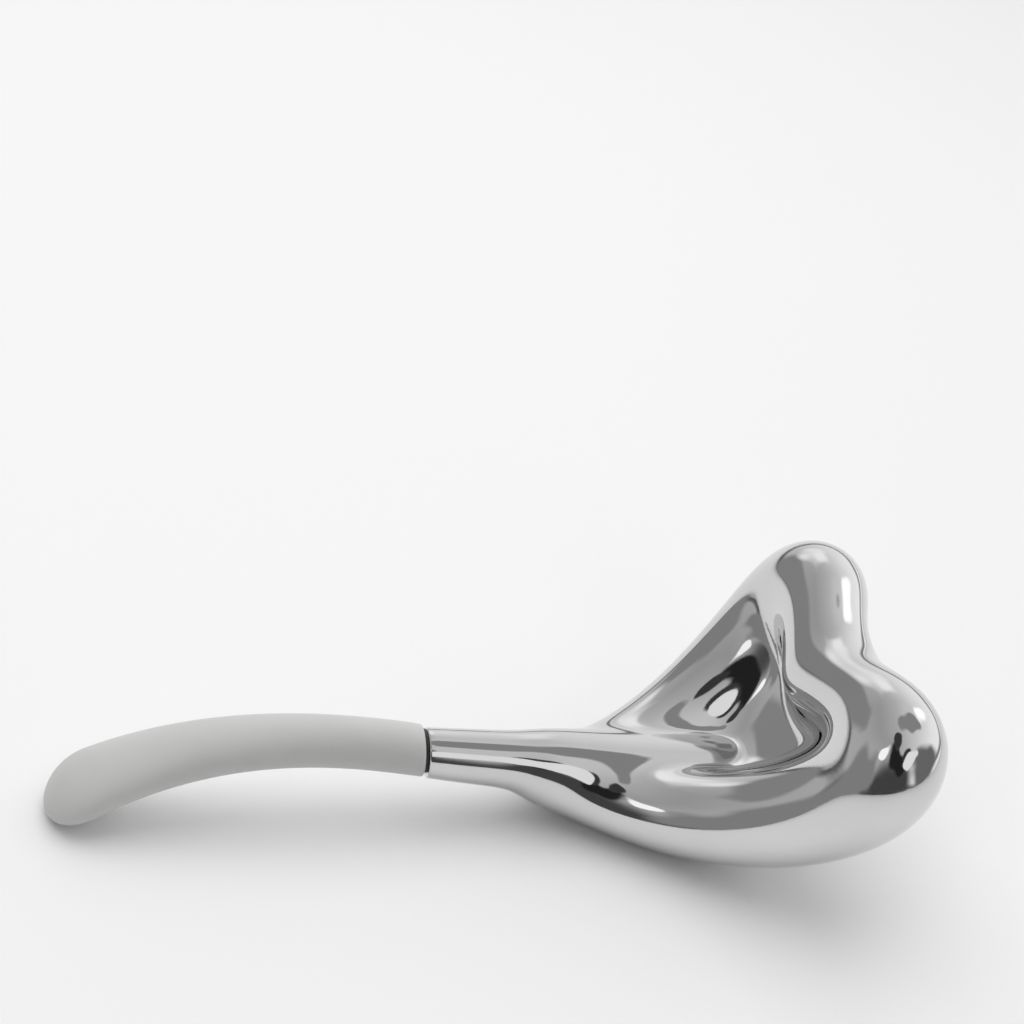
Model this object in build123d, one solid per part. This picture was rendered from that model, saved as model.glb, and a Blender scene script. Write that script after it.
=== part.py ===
from build123d import *
import os
from math import comb
import numpy as np

# A hand-held sculpting massager: a hollow heart-shaped steel scoop on a round neck, and a bent
# silicone-covered handle. Millimetres. The shape is drawn in the neck's own axes: X runs from the
# joint between neck and handle (x = 0) to the head, Y across, +Z out of the hollow palm side.
# The finished pieces are then turned by REST_PITCH and lifted, so that the tool lies on z = 0.

# ---- driving dimensions ---------------------------------------------------------------------
# The head is a soft union of balls strung on three smooth cores: neck, two mirrored arms, web.
BLEND = 2.0                                     # how far neighbouring balls melt together
NECK_CORE = ((-9, 0, 1), (40, 0, -8), (64, 0, -3))
NECK_BALLS = (3.1, 5.8, 3.0)                    # ball radius along the neck core
ARM_CORE = ((26, 0, -7), (80, 20, -27), (105, 53, 44), (83, 0, 17))
ARM_BALLS = (4.0, 8.5, 10.0, 3.8)                # ball radius along an arm core
WEB_BALL = 0.8                                  # ball radius in the web between the arms
WEB_SAG = 7.5                                   # how far the web hangs below the arms
NECK_COUNT, ARM_COUNT, WEB_ROWS, WEB_COLUMNS = 26, 44, 22, 15
WEB_SPAN = (0.2, 0.95)                          # stretch of the arm core that the web fills
WEB_WIDTH = 0.88                                # the web's half width as a share of the arm's y

WALL = 0.8                                      # stamped sheet

HANDLE_LENGTH = 77.0
HANDLE_DROP = (0.0, 4.0, 1.2, -11.5)            # centre height at 0, 1/3, 2/3 and 1 of its length
HANDLE_HALF_WIDTH = (5.4, 6.6, 10.6)            # at the joint, halfway and at the end
HANDLE_HALF_THICKNESS = (5.6, 5.1, 4.4)
HANDLE_CAP = 9.0                                # length of the rounded end
SLEEVE_WALL = 1.4
JOINT_GAP = 0.8                                 # groove between neck and sleeve, filled by the washer

REST_PITCH = -2.99                              # turn that sets the arms and the handle's end down


# ---- the head's formula ---------------------------------------------------------------------
def bezier(points, t):
    points = np.asarray(points, float).reshape(len(points), -1)
    degree = len(points) - 1
    share = [comb(degree, i) * t**i * (1 - t) ** (degree - i) for i in range(degree + 1)]
    return np.stack(share, axis=-1) @ points


def neck_balls():
    t = np.linspace(0, 1, NECK_COUNT)
    return bezier(NECK_CORE, t), bezier(NECK_BALLS, t)[:, 0]


def body_balls():
    """Both arms, which meet at the notch, and the sagging web between them."""
    t = np.linspace(0, 1, ARM_COUNT)
    arm, radius = bezier(ARM_CORE, t), bezier(ARM_BALLS, t)[:, 0]
    along = np.linspace(*WEB_SPAN, WEB_ROWS)
    across = np.linspace(-WEB_WIDTH, WEB_WIDTH, WEB_COLUMNS)
    edge = bezier(ARM_CORE, along)
    web = np.empty((WEB_ROWS, WEB_COLUMNS, 3))
    web[..., 0] = edge[:, :1]
    web[..., 1] = edge[:, 1:2] * across
    web[..., 2] = edge[:, 2:3] - WEB_SAG * np.sin(np.pi * along)[:, None] * (1 - across**2)
    centres = np.concatenate([arm, arm * (1, -1, 1), web.reshape(-1, 3)])
    return centres, np.concatenate([radius, radius, np.full(web[..., 0].size, WEB_BALL)])


def field(points, balls):
    """Signed distance-like value: negative inside the soft union of the balls."""
    centres, radii = balls
    squared = (points**2).sum(axis=1)[:, None] + (centres**2).sum(axis=1) - 2 * points @ centres.T
    gap = np.sqrt(np.maximum(squared, 0)) - radii
    nearest = gap.min(axis=1)
    return nearest - BLEND * np.log(np.exp((nearest[:, None] - gap) / BLEND).sum(axis=1))


# ---- solids cut from the formula ------------------------------------------------------------
GRID_STEP = 0.6
GRID_X = np.arange(-12, 118, GRID_STEP)
GRID_Z = np.arange(-48, 78, GRID_STEP)
CHORD_STEPS = 48                                # columns measured in each slice, flank to rim
SIDE_POINTS = 25                                # points kept on each side of a slice
SHEET_STRIDE = 4                                # every fourth point of a slice guides the sheet
SLICE_TURNS = np.radians((0, 11.25, 22.5, 33.75, 45, 56.25, 67.5, 78.75, 87.2))
NECK_STEPS = 10                                 # rings along the neck's ridge


def crossing(position, value, inside, step):
    """Where value passes zero, walking from index inside by step, by linear interpolation."""
    index = inside
    while value[index + step] < 0:
        index += step
    share = value[index] / (value[index] - value[index + step])
    return float(position[index] + share * (position[index + step] - position[index]))


def column(x, y, balls, inset):
    """Lowest, middle and highest point of the skin above (x, y), drawn in by inset."""
    line = np.stack([np.full_like(GRID_Z, x), np.full_like(GRID_Z, y), GRID_Z], axis=-1)
    value = field(line, balls) + inset
    middle = int(value.argmin())
    if value[middle] >= 0:
        return (float(GRID_Z[middle]),) * 3
    low, high = crossing(GRID_Z, value, middle, -1), crossing(GRID_Z, value, middle, 1)
    return low, float(GRID_Z[middle]), high


def thinnest(y, balls, inset):
    """The field at its deepest point in each column of the slice at y."""
    x, z = np.meshgrid(GRID_X, GRID_Z, indexing="ij")
    points = np.stack([x, np.full_like(x, y), z], axis=-1).reshape(-1, 3)
    return field(points, balls).reshape(x.shape).min(axis=1) + inset


def even_points(path, count):
    """count points at equal steps along a polyline, its two ends included."""
    path = np.array(path)
    run = np.concatenate([[0], np.cumsum(np.linalg.norm(np.diff(path, axis=0), axis=1))])
    at = np.linspace(0, run[-1], count)
    return np.stack([np.interp(at, run, path[:, axis]) for axis in range(3)], axis=-1)


def slice_ring(y, balls, inset):
    """One closed slice of the body across the tool at y: its points, palm side first."""
    value = thinnest(y, balls, inset)
    deepest = int(value.argmin())
    left = crossing(GRID_X, value, deepest, -1)
    right = crossing(GRID_X, value, deepest, 1)
    palm, back = [], []
    for turn in np.linspace(0, np.pi, CHORD_STEPS + 1):
        x = left + (right - left) * (1 - np.cos(turn)) / 2
        low, middle, high = column(x, y, balls, inset)
        if turn in (0, np.pi):
            low = high = middle
        palm.append((x, y, high))
        back.append((x, y, low))
    palm, back = even_points(palm, SIDE_POINTS), even_points(back, SIDE_POINTS)
    return [tuple(map(float, point)) for point in (*palm, *back[-2:0:-1])]


def lobe_reach(balls, inset):
    """How far out the body goes in y, where its slices shrink to nothing."""
    y = np.arange(0, 70, GRID_STEP)
    centre = balls[0][balls[0][:, 1].argmax()]
    spread = np.arange(-12, 12.1, GRID_STEP)
    x, z = np.meshgrid(centre[0] + spread, centre[2] + spread)
    deepest = []
    for at in y:
        points = np.stack([x, np.full_like(x, at), z], axis=-1).reshape(-1, 3)
        deepest.append(field(points, balls).min() + inset)
    return crossing(y, np.array(deepest), int(centre[1] / GRID_STEP), 1)


def body_slices(balls, inset):
    """Slices from the middle of the head out to one lobe's side, mirrored to the other side."""
    reach = lobe_reach(balls, inset)
    half = [slice_ring(float(reach * np.sin(turn)), balls, inset) for turn in SLICE_TURNS]
    mirrored = [[(x, -y, z) for x, y, z in ring] for ring in half[:0:-1]]
    return mirrored + half


def body_solid(slices):
    """The heart-shaped body, lofted across the tool from one lobe's side to the other's."""
    sections = []
    for ring in slices:
        palm, back = ring[:SIDE_POINTS], ring[SIDE_POINTS - 1:] + ring[:1]
        sections.append(Wire([Spline(*palm), Spline(*back)]))
    return Solid.make_loft(sections)


def neck_solid(balls, inset, start):
    """The round neck and the ridge that it forms as it runs into the palm side."""
    on_axis = thinnest(0.0, balls, inset)
    end = crossing(GRID_X, on_axis, int((start + 20 - GRID_X[0]) / GRID_STEP), 1)
    rings = []
    for turn in np.linspace(0, np.pi / 2, NECK_STEPS + 1)[:-1]:
        x = start + (end - start) * float(np.sin(turn))
        low, _, high = column(x, 0.0, balls, inset)
        plane = Plane(origin=(x, 0, (low + high) / 2), x_dir=(0, 1, 0), z_dir=(1, 0, 0))
        rings.append(Wire.make_circle((high - low) / 2, plane))
    return Solid.make_loft([*rings, Vertex(end, 0, column(end, 0.0, balls, inset)[1])])


def parting_sheet(slices):
    """The surface where the two shells meet: it runs between the two skins, rim to rim."""
    outermost = slices[-1]
    beyond = [(x, 1.4 * y, z) for x, y, z in outermost]
    stations = [[(x, -y, z) for x, y, z in beyond], *slices, beyond]
    lines = []
    for ring in stations:
        palm = np.array(ring[:SIDE_POINTS])
        back = np.array((ring[SIDE_POINTS - 1:] + ring[:1])[::-1])
        middle = [tuple(map(float, point)) for point in ((palm + back) / 2)[::SHEET_STRIDE]]
        _, y, rim_z = middle[-1]
        lines.append(Wire([Spline((-20, y, 0), (-1, y, 0), *middle, (130, y, rim_z))]))
    return Shell.make_loft(lines).faces()[0]


def two_shells(solid, sheet):
    """The palm side and the back of solid. Skin that the sheet clips off beside the notch goes
    back to the shell it touches."""
    parts = sorted(solid.split(sheet, keep=Keep.ALL), key=lambda part: -part.volume)
    palm, back = sorted(parts[:2], key=lambda part: -part.center().Z)
    for scrap in parts[2:]:
        joined = palm + scrap
        if len(joined.solids()) == 1:
            palm = joined
        else:
            back = back + scrap
    return palm, back


# ---- the handle -----------------------------------------------------------------------------
HANDLE_SECTIONS = 9
CAP_SECTIONS = 4


def through_three(values, t):
    """The parabola through the given values at t = 0, 1/2 and 1."""
    return float(np.polyval(np.polyfit([0, 0.5, 1], values, 2), t))


def handle_centre(t):
    drop = np.polyval(np.polyfit([0, 1 / 3, 2 / 3, 1], HANDLE_DROP, 3), t)
    return np.array([-JOINT_GAP - t * HANDLE_LENGTH, 0, drop])


def handle_solid(inset):
    """An elliptical bar along the bent centre line, with a rounded end, drawn in by inset."""
    cap = HANDLE_CAP / HANDLE_LENGTH
    end = 1 - inset / HANDLE_LENGTH
    stations = [(t, 1.0) for t in np.linspace(0, end - cap, HANDLE_SECTIONS)]
    for turn in np.linspace(0, np.pi / 2, CAP_SECTIONS + 1)[1:-1]:
        stations.append((end - cap + cap * np.sin(turn), float(np.cos(turn))))
    wires = []
    for t, share in stations:
        ahead = handle_centre(t + 1e-4) - handle_centre(t)
        plane = Plane(origin=tuple(handle_centre(t)), x_dir=(0, 1, 0), z_dir=tuple(ahead))
        if t == 0:
            plane = Plane(origin=tuple(handle_centre(t)), x_dir=(0, 1, 0), z_dir=(-1, 0, 0))
        wires.append(Wire.make_ellipse(
            (through_three(HANDLE_HALF_WIDTH, t) - inset) * share,
            (through_three(HANDLE_HALF_THICKNESS, t) - inset) * share,
            plane,
        ))
    return Solid.make_loft([*wires, Vertex(*handle_centre(end))])


def along_joint(radius, start, end):
    """A round bar on the joint's axis, between two distances from the joint."""
    bar = Pos((start + end) / 2, 0, 0) * Rot(0, 90, 0) * Cylinder(radius, end - start)
    return Rot(0, JOINT_TILT, 0) * bar


# ---- the pieces -----------------------------------------------------------------------------
JOINT_TILT = 11.0                               # slope at which neck and handle run through the joint
PLUG_LENGTH = 8.0
STUD_RADIUS = 2.0                               # M4 stud between plug and insert
STUD_SPAN = (-13.5, 6.0)                        # from inside the insert to inside the plug
INSERT_RADIUS = 2.9
INSERT_SPAN = (-15.5, -1.5)
WASHER_RADIUS = 4.3
MOUTH = 2.0                                     # cutters run on this far past an open end


def make_pieces():
    slices = body_slices(body_balls(), 0)
    neck_hollow = neck_solid(neck_balls(), WALL, -MOUTH)
    hollow = body_solid(body_slices(body_balls(), WALL)) + neck_hollow
    shell = body_solid(slices) + neck_solid(neck_balls(), 0, 0.0) - hollow
    palm_shell, back_shell = two_shells(shell, parting_sheet(slices))

    plug_room = Pos(PLUG_LENGTH / 2, 0, 0) * Box(PLUG_LENGTH, 4 * WASHER_RADIUS, 4 * WASHER_RADIUS)
    washer = Pos(-JOINT_GAP / 2, 0, 0) * Rot(0, 90, 0) * Cylinder(WASHER_RADIUS, JOINT_GAP)
    stud = along_joint(STUD_RADIUS, *STUD_SPAN)
    insert = along_joint(INSERT_RADIUS, *INSERT_SPAN)
    core = handle_solid(SLEEVE_WALL)
    return {
        "palm_shell": palm_shell,
        "back_shell": back_shell,
        "neck_plug": (neck_hollow & plug_room) - stud,
        "threaded_stud": stud,
        "joint_washer": washer - stud,
        "thread_insert": insert - stud,
        "handle_core": core - along_joint(INSERT_RADIUS, INSERT_SPAN[0], MOUTH),
        "grip_sleeve": handle_solid(0) - core,
    }


def lying(pieces):
    """Turns the tool onto its resting points and centres it over the origin."""
    turned = {name: Rot(0, REST_PITCH, 0) * piece for name, piece in pieces.items()}
    box = Compound(list(turned.values())).bounding_box()
    shift = Pos(-(box.min.X + box.max.X) / 2, -(box.min.Y + box.max.Y) / 2, -box.min.Z)
    return {name: shift * piece for name, piece in turned.items()}


os.makedirs("parts", exist_ok=True)
for name, piece in lying(make_pieces()).items():
    export_step(piece, f"parts/{name}.step")
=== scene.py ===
"""Sculpting massager: a hollow heart-shaped polished steel scoop with a silicone-sleeved handle."""
import math
from math import comb

import bpy
import numpy as np
from mathutils import Matrix, Vector


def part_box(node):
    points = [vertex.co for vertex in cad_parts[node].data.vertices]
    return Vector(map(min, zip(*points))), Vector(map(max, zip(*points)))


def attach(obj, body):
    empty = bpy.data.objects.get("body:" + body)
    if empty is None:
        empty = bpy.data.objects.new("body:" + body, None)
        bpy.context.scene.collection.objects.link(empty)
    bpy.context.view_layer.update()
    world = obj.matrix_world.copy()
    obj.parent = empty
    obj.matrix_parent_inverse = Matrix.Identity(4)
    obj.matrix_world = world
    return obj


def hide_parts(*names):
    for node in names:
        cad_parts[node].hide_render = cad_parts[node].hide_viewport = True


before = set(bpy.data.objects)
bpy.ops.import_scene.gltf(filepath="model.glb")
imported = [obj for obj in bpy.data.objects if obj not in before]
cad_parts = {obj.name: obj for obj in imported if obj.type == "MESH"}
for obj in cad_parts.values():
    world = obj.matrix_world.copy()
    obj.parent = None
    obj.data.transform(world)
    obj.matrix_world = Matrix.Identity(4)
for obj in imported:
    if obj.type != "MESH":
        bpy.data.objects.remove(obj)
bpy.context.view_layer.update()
MM = 0.001

# ---- the tool's own axes: origin at the joint, +X to the head, +Z out of the palm side, mm ----
TURN = math.radians(-2.99)          # how the tool leans when it lies down
AXES = np.array([
    [math.cos(TURN), 0, math.sin(TURN)],
    [0, 1, 0],
    [-math.sin(TURN), 0, math.cos(TURN)],
])
WASHER_LOW, WASHER_HIGH = (np.array(corner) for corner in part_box("joint_washer"))
JOINT_GAP = 0.8
JOINT = (WASHER_LOW + WASHER_HIGH) / 2 / MM + AXES @ (JOINT_GAP / 2, 0, 0)


def to_row(points):
    """Points in the tool's axes and millimetres to the row frame in metres."""
    return (np.asarray(points) @ AXES.T + JOINT) * MM


# ---- the head: a soft union of balls on a neck core, two arm cores and a web -----------------
BLEND = 2.0                         # how softly neighbouring balls melt together
NECK_CORE = ((-9, 0, 1), (40, 0, -8), (67, 0, -6.5))
NECK_BALLS = (3.1, 5.8, 0.9)
ARM_CORE = ((26, 0, -7), (80, 20, -27), (105, 53, 44), (83, 0, 17))
ARM_BALLS = (4.0, 8.5, 10.0, 3.8)
WEB_BALL, WEB_SAG, WEB_WIDTH = 0.8, 7.5, 0.88
WEB_SPAN = (0.2, 0.95)              # stretch of the arms' curve that the web joins
NECK_COUNT, ARM_COUNT = 26, 44      # balls along each core
WEB_ROWS, WEB_COLUMNS = 22, 15
CHUNK = 8000                        # points worked out at a time


def bezier(points, t):
    """Places along the curve whose control points are given, at each share t of its length."""
    points = np.asarray(points, float).reshape(len(points), -1)
    degree = len(points) - 1
    share = [comb(degree, i) * t**i * (1 - t) ** (degree - i) for i in range(degree + 1)]
    return np.stack(share, axis=-1) @ points


def all_balls():
    """Centres and radii of every ball of the head."""
    t = np.linspace(0, 1, NECK_COUNT)
    neck, neck_radius = bezier(NECK_CORE, t), bezier(NECK_BALLS, t)[:, 0]
    t = np.linspace(0, 1, ARM_COUNT)
    arm, arm_radius = bezier(ARM_CORE, t), bezier(ARM_BALLS, t)[:, 0]
    along = np.linspace(*WEB_SPAN, WEB_ROWS)
    across = np.linspace(-WEB_WIDTH, WEB_WIDTH, WEB_COLUMNS)
    edge = bezier(ARM_CORE, along)
    web = np.empty((WEB_ROWS, WEB_COLUMNS, 3))
    web[..., 0] = edge[:, :1]
    web[..., 1] = edge[:, 1:2] * across
    web[..., 2] = edge[:, 2:3] - WEB_SAG * np.sin(np.pi * along)[:, None] * (1 - across**2)
    web = web.reshape(-1, 3)
    centres = np.concatenate([neck, arm, arm * (1, -1, 1), web])
    radii = np.concatenate([neck_radius, arm_radius, arm_radius, np.full(len(web), WEB_BALL)])
    return centres, radii


CENTRES, RADII = all_balls()


def field(points, slope=False):
    """Distance-like value, negative inside, and its slope if asked for."""
    values, slopes = [], []
    for start in range(0, len(points), CHUNK):
        part = points[start:start + CHUNK]
        away = np.sqrt(np.maximum(
            (part**2).sum(1)[:, None] + (CENTRES**2).sum(1) - 2 * part @ CENTRES.T, 1e-9))
        gap = away - RADII
        nearest = gap.min(1)
        weight = np.exp((nearest[:, None] - gap) / BLEND)
        total = weight.sum(1)
        values.append(nearest - BLEND * np.log(total))
        if slope:
            pull = weight / away
            slopes.append((part * pull.sum(1)[:, None] - pull @ CENTRES) / total[:, None])
    if slope:
        return np.concatenate(values), np.concatenate(slopes)
    return np.concatenate(values)


def unit(vectors):
    return vectors / np.linalg.norm(vectors, axis=1, keepdims=True)


SETTLE_PASSES = 4
LONGEST_MOVE = 0.6
FLATTEST_SLOPE = 0.05


def onto_skin(points, flat=False):
    """Moves points onto the skin, in the y-z plane only if flat. Returns them and their normals."""
    for _ in range(SETTLE_PASSES):
        value, slope = field(points, True)
        if flat:
            slope = slope * (0, 1, 1)
        step = slope * (value / np.maximum((slope**2).sum(1), FLATTEST_SLOPE))[:, None]
        points = points - np.clip(step, -LONGEST_MOVE, LONGEST_MOVE)
    _, slope = field(points, True)
    return points, unit(slope)


STEP = 1.0
HEAD_REACH = 107                    # the grid's far end, its half width, and its lowest and highest
HEAD_HALF_WIDTH = 45
HEAD_LOW, HEAD_HIGH = -27, 40


def sampled_head():
    """A regular grid over the head and the field's value at its points, mirrored in y."""
    xs = np.arange(0, HEAD_REACH, STEP)
    half = np.arange(0.5, HEAD_HALF_WIDTH / STEP) * STEP
    zs = np.arange(HEAD_LOW, HEAD_HIGH, STEP)
    x, y, z = np.meshgrid(xs, half, zs, indexing="ij")
    right = field(np.stack([x, y, z], -1).reshape(-1, 3)).reshape(x.shape)
    value = np.concatenate([right[:, ::-1], right], axis=1)
    ys = np.concatenate([-half[::-1], half])
    return (xs, ys, zs), value


def cell_points(grid, value):
    """For each cell that the skin passes through, the mean of the places where it crosses its edges."""
    shape = [n - 1 for n in value.shape]
    total, count = np.zeros((*shape, 3)), np.zeros(shape)

    def corner(array, offset):
        return array[tuple(slice(o, o + n) for o, n in zip(offset, shape))]

    place = np.stack(np.meshgrid(*grid, indexing="ij"), -1)
    for axis in range(3):
        for first in (0, 1):
            for second in (0, 1):
                low = [first, second]
                low.insert(axis, 0)
                high = list(low)
                high[axis] = 1
                a, b = corner(value, low), corner(value, high)
                crossed = (a < 0) != (b < 0)
                share = np.where(crossed, a / np.where(crossed, a - b, 1), 0)[..., None]
                point = corner(place, low) * (1 - share) + corner(place, high) * share
                total += np.where(crossed[..., None], point, 0)
                count += crossed
    used = count > 0
    index = -np.ones(shape, int)
    index[used] = np.arange(used.sum())
    return total[used] / count[used][:, None], index, np.argwhere(used)[:, 0]


def cell_quads(value, index):
    """A quad round each grid edge that the skin crosses, wound to face outwards."""
    inside = value < 0
    quads = []
    for axis in range(3):
        low = [slice(None)] * 3
        high = [slice(None)] * 3
        low[axis], high[axis] = slice(0, -1), slice(1, None)
        a, b = inside[tuple(low)], inside[tuple(high)]
        spots = np.argwhere(a != b)
        others = [k for k in range(3) if k != axis]
        keep = np.ones(len(spots), bool)
        for k in others:
            keep &= (spots[:, k] > 0) & (spots[:, k] < value.shape[k] - 1)
        spots = spots[keep]
        outward = a[tuple(spots.T)]
        ring = []
        for first, second in ((-1, -1), (0, -1), (0, 0), (-1, 0)):
            cell = spots.copy()
            cell[:, others[0]] += first
            cell[:, others[1]] += second
            ring.append(index[tuple(cell.T)])
        ring = np.stack(ring, 1)
        if axis == 1:
            outward = ~outward
        ring[~outward] = ring[~outward][:, ::-1]
        quads.append(ring)
    return np.concatenate(quads)


def skin_net():
    """The skin as quads, one corner for each grid cell that it passes through (surface nets)."""
    grid, value = sampled_head()
    points, index, layer = cell_points(grid, value)
    quads = cell_quads(value, index)
    at_joint = layer == 0
    quads = quads[~at_joint[quads].all(1)]
    return points, quads, at_joint


LIP = 0.45                          # rounding of the neck's open edge
LIP_STEPS = 5
LIP_TUCK = 1.2                      # how far the edge then goes on inwards


def open_edge(quads, edge):
    """Corners round the neck's open end, in order."""
    sides = {}
    for quad in quads:
        for a, b in zip(quad, np.roll(quad, -1)):
            if edge[a] and edge[b]:
                sides[int(a)] = int(b)
    loop = [next(iter(sides))]
    while sides[loop[-1]] != loop[0]:
        loop.append(sides[loop[-1]])
    return loop


def rolled_lip(points, normals, loop):
    """Rings of points that round the open edge off and turn it inwards, with normals and quads."""
    base, out = points[loop], normals[loop]
    rings, slants, faces, last = [], [], [], loop
    for k in range(1, LIP_STEPS + 2):
        turn = min(k / LIP_STEPS, 1) * math.pi / 2
        inset = LIP * (1 - math.cos(turn)) + (LIP_TUCK if k > LIP_STEPS else 0)
        ring = base - out * inset
        ring[:, 0] = LIP * (1 - math.sin(turn))
        rings.append(ring)
        slants.append(out * math.cos(turn) - np.array([math.sin(turn), 0, 0]))
        start = len(points) + (k - 1) * len(loop)
        new = list(range(start, start + len(loop)))
        for i in range(len(loop)):
            j = (i + 1) % len(loop)
            faces.append((last[j], last[i], new[i], new[j]))
        last = new
    return rings, slants, np.array(faces)


def head_mesh():
    """The whole head's skin: points, normals and quads."""
    points, quads, edge = skin_net()
    points[edge, 0] = LIP
    moved, normals = onto_skin(points)
    flat, flat_normals = onto_skin(points[edge], flat=True)
    points, normals[edge] = moved, unit(flat_normals * (0, 1, 1))
    points[edge] = flat
    rings, slants, lip_quads = rolled_lip(points, normals, open_edge(quads, edge))
    return (np.concatenate([points, *rings]), np.concatenate([normals, *slants]),
            np.concatenate([quads, lip_quads]))


def make_object(name, points, faces, normals=None):
    """A smooth-shaded object from points in the tool's axes."""
    mesh = bpy.data.meshes.new(name)
    mesh.from_pydata(to_row(points).tolist(), [], [tuple(map(int, face)) for face in faces])
    mesh.polygons.foreach_set("use_smooth", [True] * len(mesh.polygons))
    mesh.update()
    if normals is not None:
        mesh.normals_split_custom_set_from_vertices((normals @ AXES.T).tolist())
    piece = bpy.data.objects.new(name, mesh)
    bpy.context.collection.objects.link(piece)
    return piece


def part_of(points, normals, quads, keep):
    """The chosen quads with only the points that they use."""
    chosen = quads[keep]
    used = np.unique(chosen)
    renumber = np.zeros(len(points), int)
    renumber[used] = np.arange(len(used))
    return points[used], renumber[chosen], normals[used]


# ---- the handle sleeve -----------------------------------------------------------------------
HANDLE_LENGTH = 77.0
HANDLE_DROP = (0.0, 4.0, 1.2, -11.5)
HANDLE_HALF_WIDTH = (5.4, 6.6, 10.6)
HANDLE_HALF_THICKNESS = (5.6, 5.1, 4.4)
HANDLE_CAP = 9.0                    # length of the rounded end
EDGE_ROUND = 0.5                    # rounding of the sleeve's open edge
EDGE_TUCK = 1.6                     # how far that edge goes on inwards
STRAIGHT_START = 6                  # sections turn square to the bend over this length
AROUND = 96                         # points round a section


def band(first, second):
    """Quads between two rings of a mesh built from rings of AROUND points."""
    a, b = first * AROUND, second * AROUND
    pairs = [(i, (i + 1) % AROUND) for i in range(AROUND)]
    return [(a + i, b + i, b + j, a + j) for i, j in pairs]


def through_three(values, t):
    """Value at t of the parabola through three evenly spaced values."""
    return np.polyval(np.polyfit([0, 0.5, 1], values, 2), t)


def handle_centre(t):
    """The handle's middle line, a cubic through four heights."""
    drop = np.polyval(np.polyfit([0, 1 / 3, 2 / 3, 1], HANDLE_DROP, 3), t)
    return np.array([-JOINT_GAP - t * HANDLE_LENGTH, 0, drop])


def sleeve_stations():
    """Each section's share of the length, scale and inset, from the joint to the rounded end."""
    cap = HANDLE_CAP / HANDLE_LENGTH
    lip = []
    for turn in np.linspace(0, math.pi / 2, 6):
        lip.append((EDGE_ROUND * (1 - math.sin(turn)) / HANDLE_LENGTH, 1.0,
                    EDGE_ROUND * (1 - math.cos(turn))))
    stations = [(0.0, 1.0, EDGE_TUCK)] + lip[::-1]
    for t in np.linspace(EDGE_ROUND * 2 / HANDLE_LENGTH, 1 - cap, 70):
        stations.append((t, 1.0, 0.0))
    for turn in np.linspace(0, math.pi / 2, 26)[1:-1]:
        stations.append((1 - cap + cap * math.sin(turn), math.cos(turn), 0.0))
    return stations


def sleeve_ring(t, share, inset):
    """One section of the sleeve, square to the handle's bend past its straight start."""
    centre = handle_centre(t)
    ahead = handle_centre(t + 1e-4) - centre
    lean = min(t * HANDLE_LENGTH / STRAIGHT_START, 1.0)
    ahead = ahead / np.linalg.norm(ahead) * lean + np.array([-1.0, 0, 0]) * (1 - lean)
    up = np.cross(ahead / np.linalg.norm(ahead), (0, 1, 0))
    up = up if up[2] > 0 else -up
    wide = (through_three(HANDLE_HALF_WIDTH, t) - inset) * share
    thick = (through_three(HANDLE_HALF_THICKNESS, t) - inset) * share
    angle = np.linspace(0, 2 * math.pi, AROUND, endpoint=False)
    return centre + np.outer(np.cos(angle) * wide, (0, 1, 0)) + np.outer(np.sin(angle) * thick, up)


def sleeve_mesh():
    """The silicone sleeve, closed at the handle's rounded end."""
    rings = [sleeve_ring(*station) for station in sleeve_stations()]
    points = np.concatenate([*rings, handle_centre(1.0)[None]])
    faces = []
    for k in range(len(rings) - 1):
        faces += band(k, k + 1)
    last = (len(rings) - 1) * AROUND
    faces += [(last + i, len(points) - 1, last + (i + 1) % AROUND) for i in range(AROUND)]
    return points, faces


WASHER_BORE = 2.2
WASHER_SHOULDER = 4.35              # radius where the outer edge starts to round
WASHER_BULGE = 0.3                  # how far the rounded edge stands out


def washer_mesh():
    """A round rubber ring with a soft outer edge."""
    half = JOINT_GAP / 2
    edge = []
    for turn in np.linspace(-math.pi / 2, math.pi / 2, 9):
        edge.append((half * (math.sin(turn) - 1), WASHER_SHOULDER + WASHER_BULGE * math.cos(turn)))
    profile = [(-JOINT_GAP, WASHER_BORE)] + edge + [(0.0, WASHER_BORE)]
    angle = np.linspace(0, 2 * math.pi, AROUND, endpoint=False)
    points = [(x, r * math.cos(a), r * math.sin(a)) for x, r in profile for a in angle]
    faces = []
    for k in range(len(profile)):
        faces += band(k, (k + 1) % len(profile))
    return np.array(points), faces


# ---- materials -------------------------------------------------------------------------------
class Nodes:
    """Adds and links the nodes of one tree."""

    def __init__(self, tree):
        self.tree = tree
        tree.nodes.clear()

    def add(self, kind, **values):
        node = self.tree.nodes.new(kind)
        for key, value in values.items():
            if hasattr(node, key):
                setattr(node, key, value)
            else:
                node.inputs[key.replace("_", " ")].default_value = value
        return node

    def link(self, a, out, b, into):
        self.tree.links.new(a.outputs[out], b.inputs[into])


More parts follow.
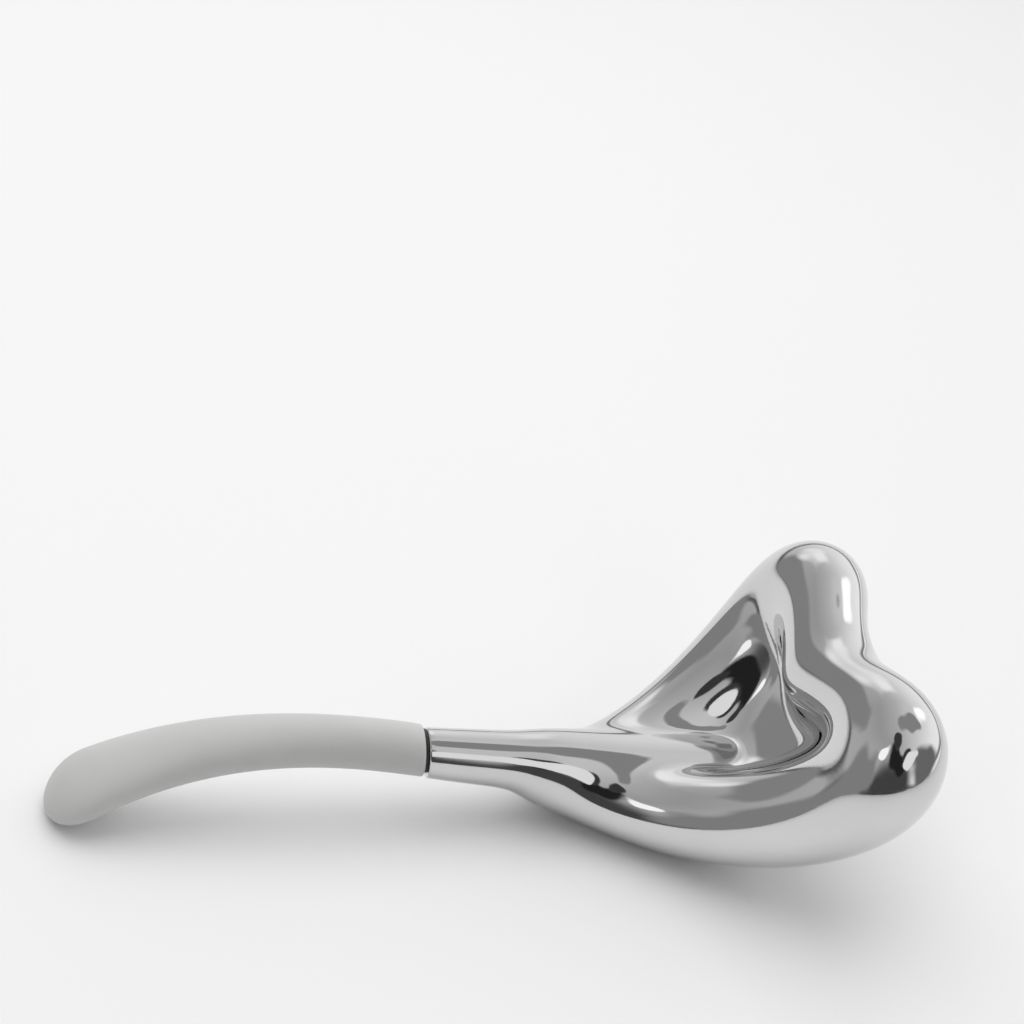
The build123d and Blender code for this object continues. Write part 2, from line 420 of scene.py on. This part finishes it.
def material(name, colours, rough, metallic=0.0, scale=60.0, stretch=(1, 1, 1), bump=0.02,
             bump_scale=400.0, settings=()):
    """Noise-driven colour, roughness and bump on a Principled surface."""
    made = bpy.data.materials.new(name)
    made.use_nodes = True
    n = Nodes(made.node_tree)
    out = n.add("ShaderNodeOutputMaterial")
    shader = n.add("ShaderNodeBsdfPrincipled")
    shader.inputs["Metallic"].default_value = metallic
    for key, value in settings:
        shader.inputs[key].default_value = value
    n.link(shader, "BSDF", out, "Surface")
    place = n.add("ShaderNodeTexCoord")
    mapping = n.add("ShaderNodeMapping")
    mapping.inputs["Scale"].default_value = stretch
    n.link(place, "Object", mapping, "Vector")
    cloud = n.add("ShaderNodeTexNoise", Scale=scale, Detail=4.0)
    n.link(mapping, "Vector", cloud, "Vector")
    tint = n.add("ShaderNodeValToRGB")
    tint.color_ramp.elements[0].position, tint.color_ramp.elements[1].position = 0.3, 0.7
    for stop, colour in zip(tint.color_ramp.elements, colours):
        stop.color = (*colour, 1)
    n.link(cloud, "Fac", tint, "Fac")
    n.link(tint, "Color", shader, "Base Color")
    gloss = n.add("ShaderNodeMapRange")
    gloss.inputs["From Min"].default_value, gloss.inputs["From Max"].default_value = 0.3, 0.7
    gloss.inputs["To Min"].default_value, gloss.inputs["To Max"].default_value = rough
    fine = n.add("ShaderNodeTexNoise", Scale=bump_scale, Detail=6.0)
    n.link(mapping, "Vector", fine, "Vector")
    n.link(fine, "Fac", gloss, "Value")
    n.link(gloss, "Result", shader, "Roughness")
    relief = n.add("ShaderNodeBump", Strength=bump)
    relief.inputs["Distance"].default_value = 0.0001
    n.link(fine, "Fac", relief, "Height")
    n.link(relief, "Normal", shader, "Normal")
    return made


def dress(piece, *materials):
    piece.data.materials.clear()
    for each in materials:
        piece.data.materials.append(each)


steel = material("polished steel", ((0.63, 0.63, 0.635), (0.70, 0.70, 0.70)), (0.03, 0.07), 1.0,
                 scale=25, bump=0.03, bump_scale=900)
# Painted shade: the sleeve is milky white silicone, but its base colour is set to a mid grey that
# stands in for shade.
silicone = material("silicone", ((0.56, 0.56, 0.555), (0.62, 0.62, 0.615)), (0.42, 0.52), 0.0,
                    scale=35, bump=0.15, bump_scale=1400,
                    settings=(("Subsurface Weight", 0.25), ("Subsurface Radius", (0.004, 0.004, 0.004)),
                              ("Subsurface Scale", 1.0), ("IOR", 1.41)))
rubber = material("dark rubber", ((0.012, 0.012, 0.012), (0.03, 0.03, 0.03)), (0.4, 0.6), 0.0)
turned = material("turned steel", ((0.50, 0.50, 0.50), (0.60, 0.60, 0.60)), (0.25, 0.4), 1.0)
brass = material("brass", ((0.65, 0.48, 0.20), (0.78, 0.60, 0.28)), (0.25, 0.4), 1.0)

# ---- the pieces ------------------------------------------------------------------------------
skin, skin_normals, skin_quads = head_mesh()
face_up = skin_normals[skin_quads].sum(1)[:, 2] > 0
for name, keep, node in (("head_palm", face_up, "palm_shell"), ("head_back", ~face_up, "back_shell")):
    points, faces, normals = part_of(skin, skin_normals, skin_quads, keep)
    piece = make_object(name, points, faces, normals)
    dress(piece, steel)
    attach(piece, "root")
    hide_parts(node)

sleeve = make_object("sleeve", *sleeve_mesh())
dress(sleeve, silicone)
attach(sleeve, "root")
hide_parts("grip_sleeve")

washer = make_object("washer", *washer_mesh())
dress(washer, rubber)
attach(washer, "root")
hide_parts("joint_washer")

for node, look in (("neck_plug", turned), ("threaded_stud", turned), ("thread_insert", brass),
                   ("handle_core", turned)):
    dress(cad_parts[node], look)

# ---- floor, light, camera --------------------------------------------------------------------
FLOOR_HALF = 2.5                    # metres
FLOOR_DROP = 0.0002                 # keeps the floor just clear of the tool
floor_mesh = bpy.data.meshes.new("floor")
floor_mesh.from_pydata([(x * FLOOR_HALF, y * FLOOR_HALF, -FLOOR_DROP) for x, y in
                        ((-1, -1), (1, -1), (1, 1), (-1, 1))], [], [(0, 1, 2, 3)])
floor = bpy.data.objects.new("floor", floor_mesh)
bpy.context.collection.objects.link(floor)
dress(floor, material("floor", ((0.93, 0.93, 0.93), (0.94, 0.94, 0.94)), (0.6, 0.7), 0.0, scale=2,
                      bump=0.0))

# the room's grey by height, from straight down (0) to straight up (1)
RAMP = ((0.0, 0.8), (0.505, 0.95), (0.52, 0.22), (0.54, 0.30), (0.57, 1.0), (0.74, 0.95),
        (0.90, 0.80), (1.0, 0.85))
# darker and brighter things in the room: direction, cosine where each starts, cosine where it is
# full, grey
PATCHES = (
    ((-0.26, -0.96, 0.14), 0.74, 0.92, 0.07),
    ((-0.61, 0.73, 0.31), 0.90, 0.97, 0.30),
    ((-0.92, -0.33, 0.21), 0.90, 0.97, 0.28),
    ((0.72, -0.60, 0.34), 0.88, 0.96, 0.18),
    ((-0.23, -0.78, 0.59), 0.935, 0.965, 0.02),
    ((0.34, -0.06, 0.94), 0.945, 0.970, 0.30),
    ((0.05, -0.57, 0.82), 0.975, 0.985, 0.05),
    ((0.66, 0.38, 0.64), 0.95, 0.98, 1.5),
    ((-0.02, 0.76, 0.65), 0.93, 0.985, 1.15),
    ((-0.58, -0.58, 0.57), 0.984, 0.990, 1.3),
    ((0.30, -0.75, 0.59), 0.988, 0.994, 1.0),
)
ROOM_WANDER = 0.30                  # how much the patches' edges wander
DIM_SIDE, BRIGHT_SIDE = 0.52, 1.15  # the room's level on the handle's side and on the head's side
DIM_SIDE_X = -0.6                   # the direction's x where the dim side ends


def room_direction(w):
    """The direction looked along, shifted a little by noise so that nothing has a hard edge."""
    place = w.add("ShaderNodeTexCoord")
    noise = w.add("ShaderNodeTexNoise", Scale=1.6, Detail=1.0)
    w.link(place, "Generated", noise, "Vector")
    shift = w.add("ShaderNodeVectorMath", operation="MULTIPLY_ADD")
    w.link(noise, "Color", shift, 0)
    shift.inputs[1].default_value = (ROOM_WANDER,) * 3
    w.link(place, "Generated", shift, 2)
    centre = w.add("ShaderNodeVectorMath", operation="SUBTRACT")
    w.link(shift, "Vector", centre, 0)
    centre.inputs[1].default_value = (ROOM_WANDER / 2,) * 3
    return centre


def room_walls(w, split):
    """Grey by height, brighter towards the head's side."""
    height = w.add("ShaderNodeMapRange")
    height.inputs["From Min"].default_value = -1.0
    w.link(split, "Z", height, "Value")
    ramp = w.add("ShaderNodeValToRGB")
    while len(ramp.color_ramp.elements) < len(RAMP):
        ramp.color_ramp.elements.new(0.5)
    for stop, (position, grey) in zip(ramp.color_ramp.elements, RAMP):
        stop.position = position
        stop.color = (grey, grey, grey, 1)
    w.link(height, "Result", ramp, "Fac")
    side = w.add("ShaderNodeMapRange", interpolation_type="SMOOTHSTEP")
    side.inputs["From Min"].default_value = DIM_SIDE_X
    side.inputs["To Min"].default_value = DIM_SIDE
    side.inputs["To Max"].default_value = BRIGHT_SIDE
    w.link(split, "X", side, "Value")
    walls = w.add("ShaderNodeMix", data_type="RGBA", blend_type="MULTIPLY")
    walls.inputs[0].default_value = 1.0
    w.link(ramp, "Color", walls, 6)
    w.link(side, "Result", walls, 7)
    return walls


def studio_world():
    """A pale room with a few darker and brighter things in it for the steel to reflect."""
    world = bpy.data.worlds.new("studio")
    world.use_nodes = True
    w = Nodes(world.node_tree)
    out = w.add("ShaderNodeOutputWorld")
    back = w.add("ShaderNodeBackground")
    back.inputs["Strength"].default_value = 1.0
    w.link(back, "Background", out, "Surface")
    centre = room_direction(w)
    split = w.add("ShaderNodeSeparateXYZ")
    w.link(centre, "Vector", split, "Vector")
    shade = room_walls(w, split)
    for direction, start, full, grey in PATCHES:
        near = w.add("ShaderNodeVectorMath", operation="DOT_PRODUCT")
        w.link(centre, "Vector", near, 0)
        near.inputs[1].default_value = Vector(direction).normalized()
        amount = w.add("ShaderNodeMapRange", interpolation_type="SMOOTHSTEP")
        amount.inputs["From Min"].default_value = start
        amount.inputs["From Max"].default_value = full
        w.link(near, "Value", amount, "Value")
        mix = w.add("ShaderNodeMix", data_type="RGBA")
        w.link(amount, "Result", mix, 0)
        w.link(shade, 2, mix, 6)
        mix.inputs[7].default_value = (grey, grey, grey, 1)
        shade = mix
    w.link(shade, 2, back, "Color")
    return world


bpy.context.scene.world = studio_world()


def soft_light(name, place, size, power):
    """A broad light that points at the tool and isn't seen in the steel."""
    lamp = bpy.data.lights.new(name, "AREA")
    lamp.shape = "RECTANGLE"
    lamp.size, lamp.size_y = size
    lamp.energy = power
    light = bpy.data.objects.new(name, lamp)
    bpy.context.collection.objects.link(light)
    light.location = place
    light.rotation_euler = (-Vector(place)).to_track_quat("-Z", "Y").to_euler()
    light.visible_glossy = False


soft_light("key", (-0.10, 0.30, 1.1), (1.4, 1.2), 8)

# The camera looks along the photograph's direction, given in the tool's own axes.
VIEW_TURNS = tuple(math.radians(angle) for angle in (51.28, 21.76, -17.60))   # roll, pitch, in-plane
VIEW_OFFSET = np.array([-18.16, 50.13, 399.7])                                  # mm
LENS, SENSOR = 66.8, 36.0                                                       # mm


def camera_axes(roll, pitch, spin):
    """Rows are the camera's right, down and ahead in the tool's axes."""
    about_x = np.array([[1, 0, 0], [0, math.cos(roll), -math.sin(roll)],
                        [0, math.sin(roll), math.cos(roll)]])
    about_y = np.array([[math.cos(pitch), 0, math.sin(pitch)], [0, 1, 0],
                        [-math.sin(pitch), 0, math.cos(pitch)]])
    in_plane = np.array([[math.cos(spin), -math.sin(spin), 0],
                         [math.sin(spin), math.cos(spin), 0], [0, 0, 1]])
    return in_plane @ np.diag([1, -1, -1]) @ about_x.T @ about_y


def photo_camera():
    """The camera, placed from the view's turns and the joint's offset in the camera's own axes."""
    view = camera_axes(*VIEW_TURNS)
    right, down, ahead = view @ AXES.T
    pose = Matrix((right, -down, -ahead)).transposed().to_4x4()
    pose.translation = Vector(to_row(-view.T @ VIEW_OFFSET))
    lens = bpy.data.cameras.new("camera")
    lens.sensor_width = SENSOR
    lens.lens = LENS
    camera = bpy.data.objects.new("camera", lens)
    bpy.context.collection.objects.link(camera)
    camera.matrix_world = pose
    return camera


bpy.context.scene.camera = photo_camera()
bpy.context.scene.view_settings.view_transform = "Standard"
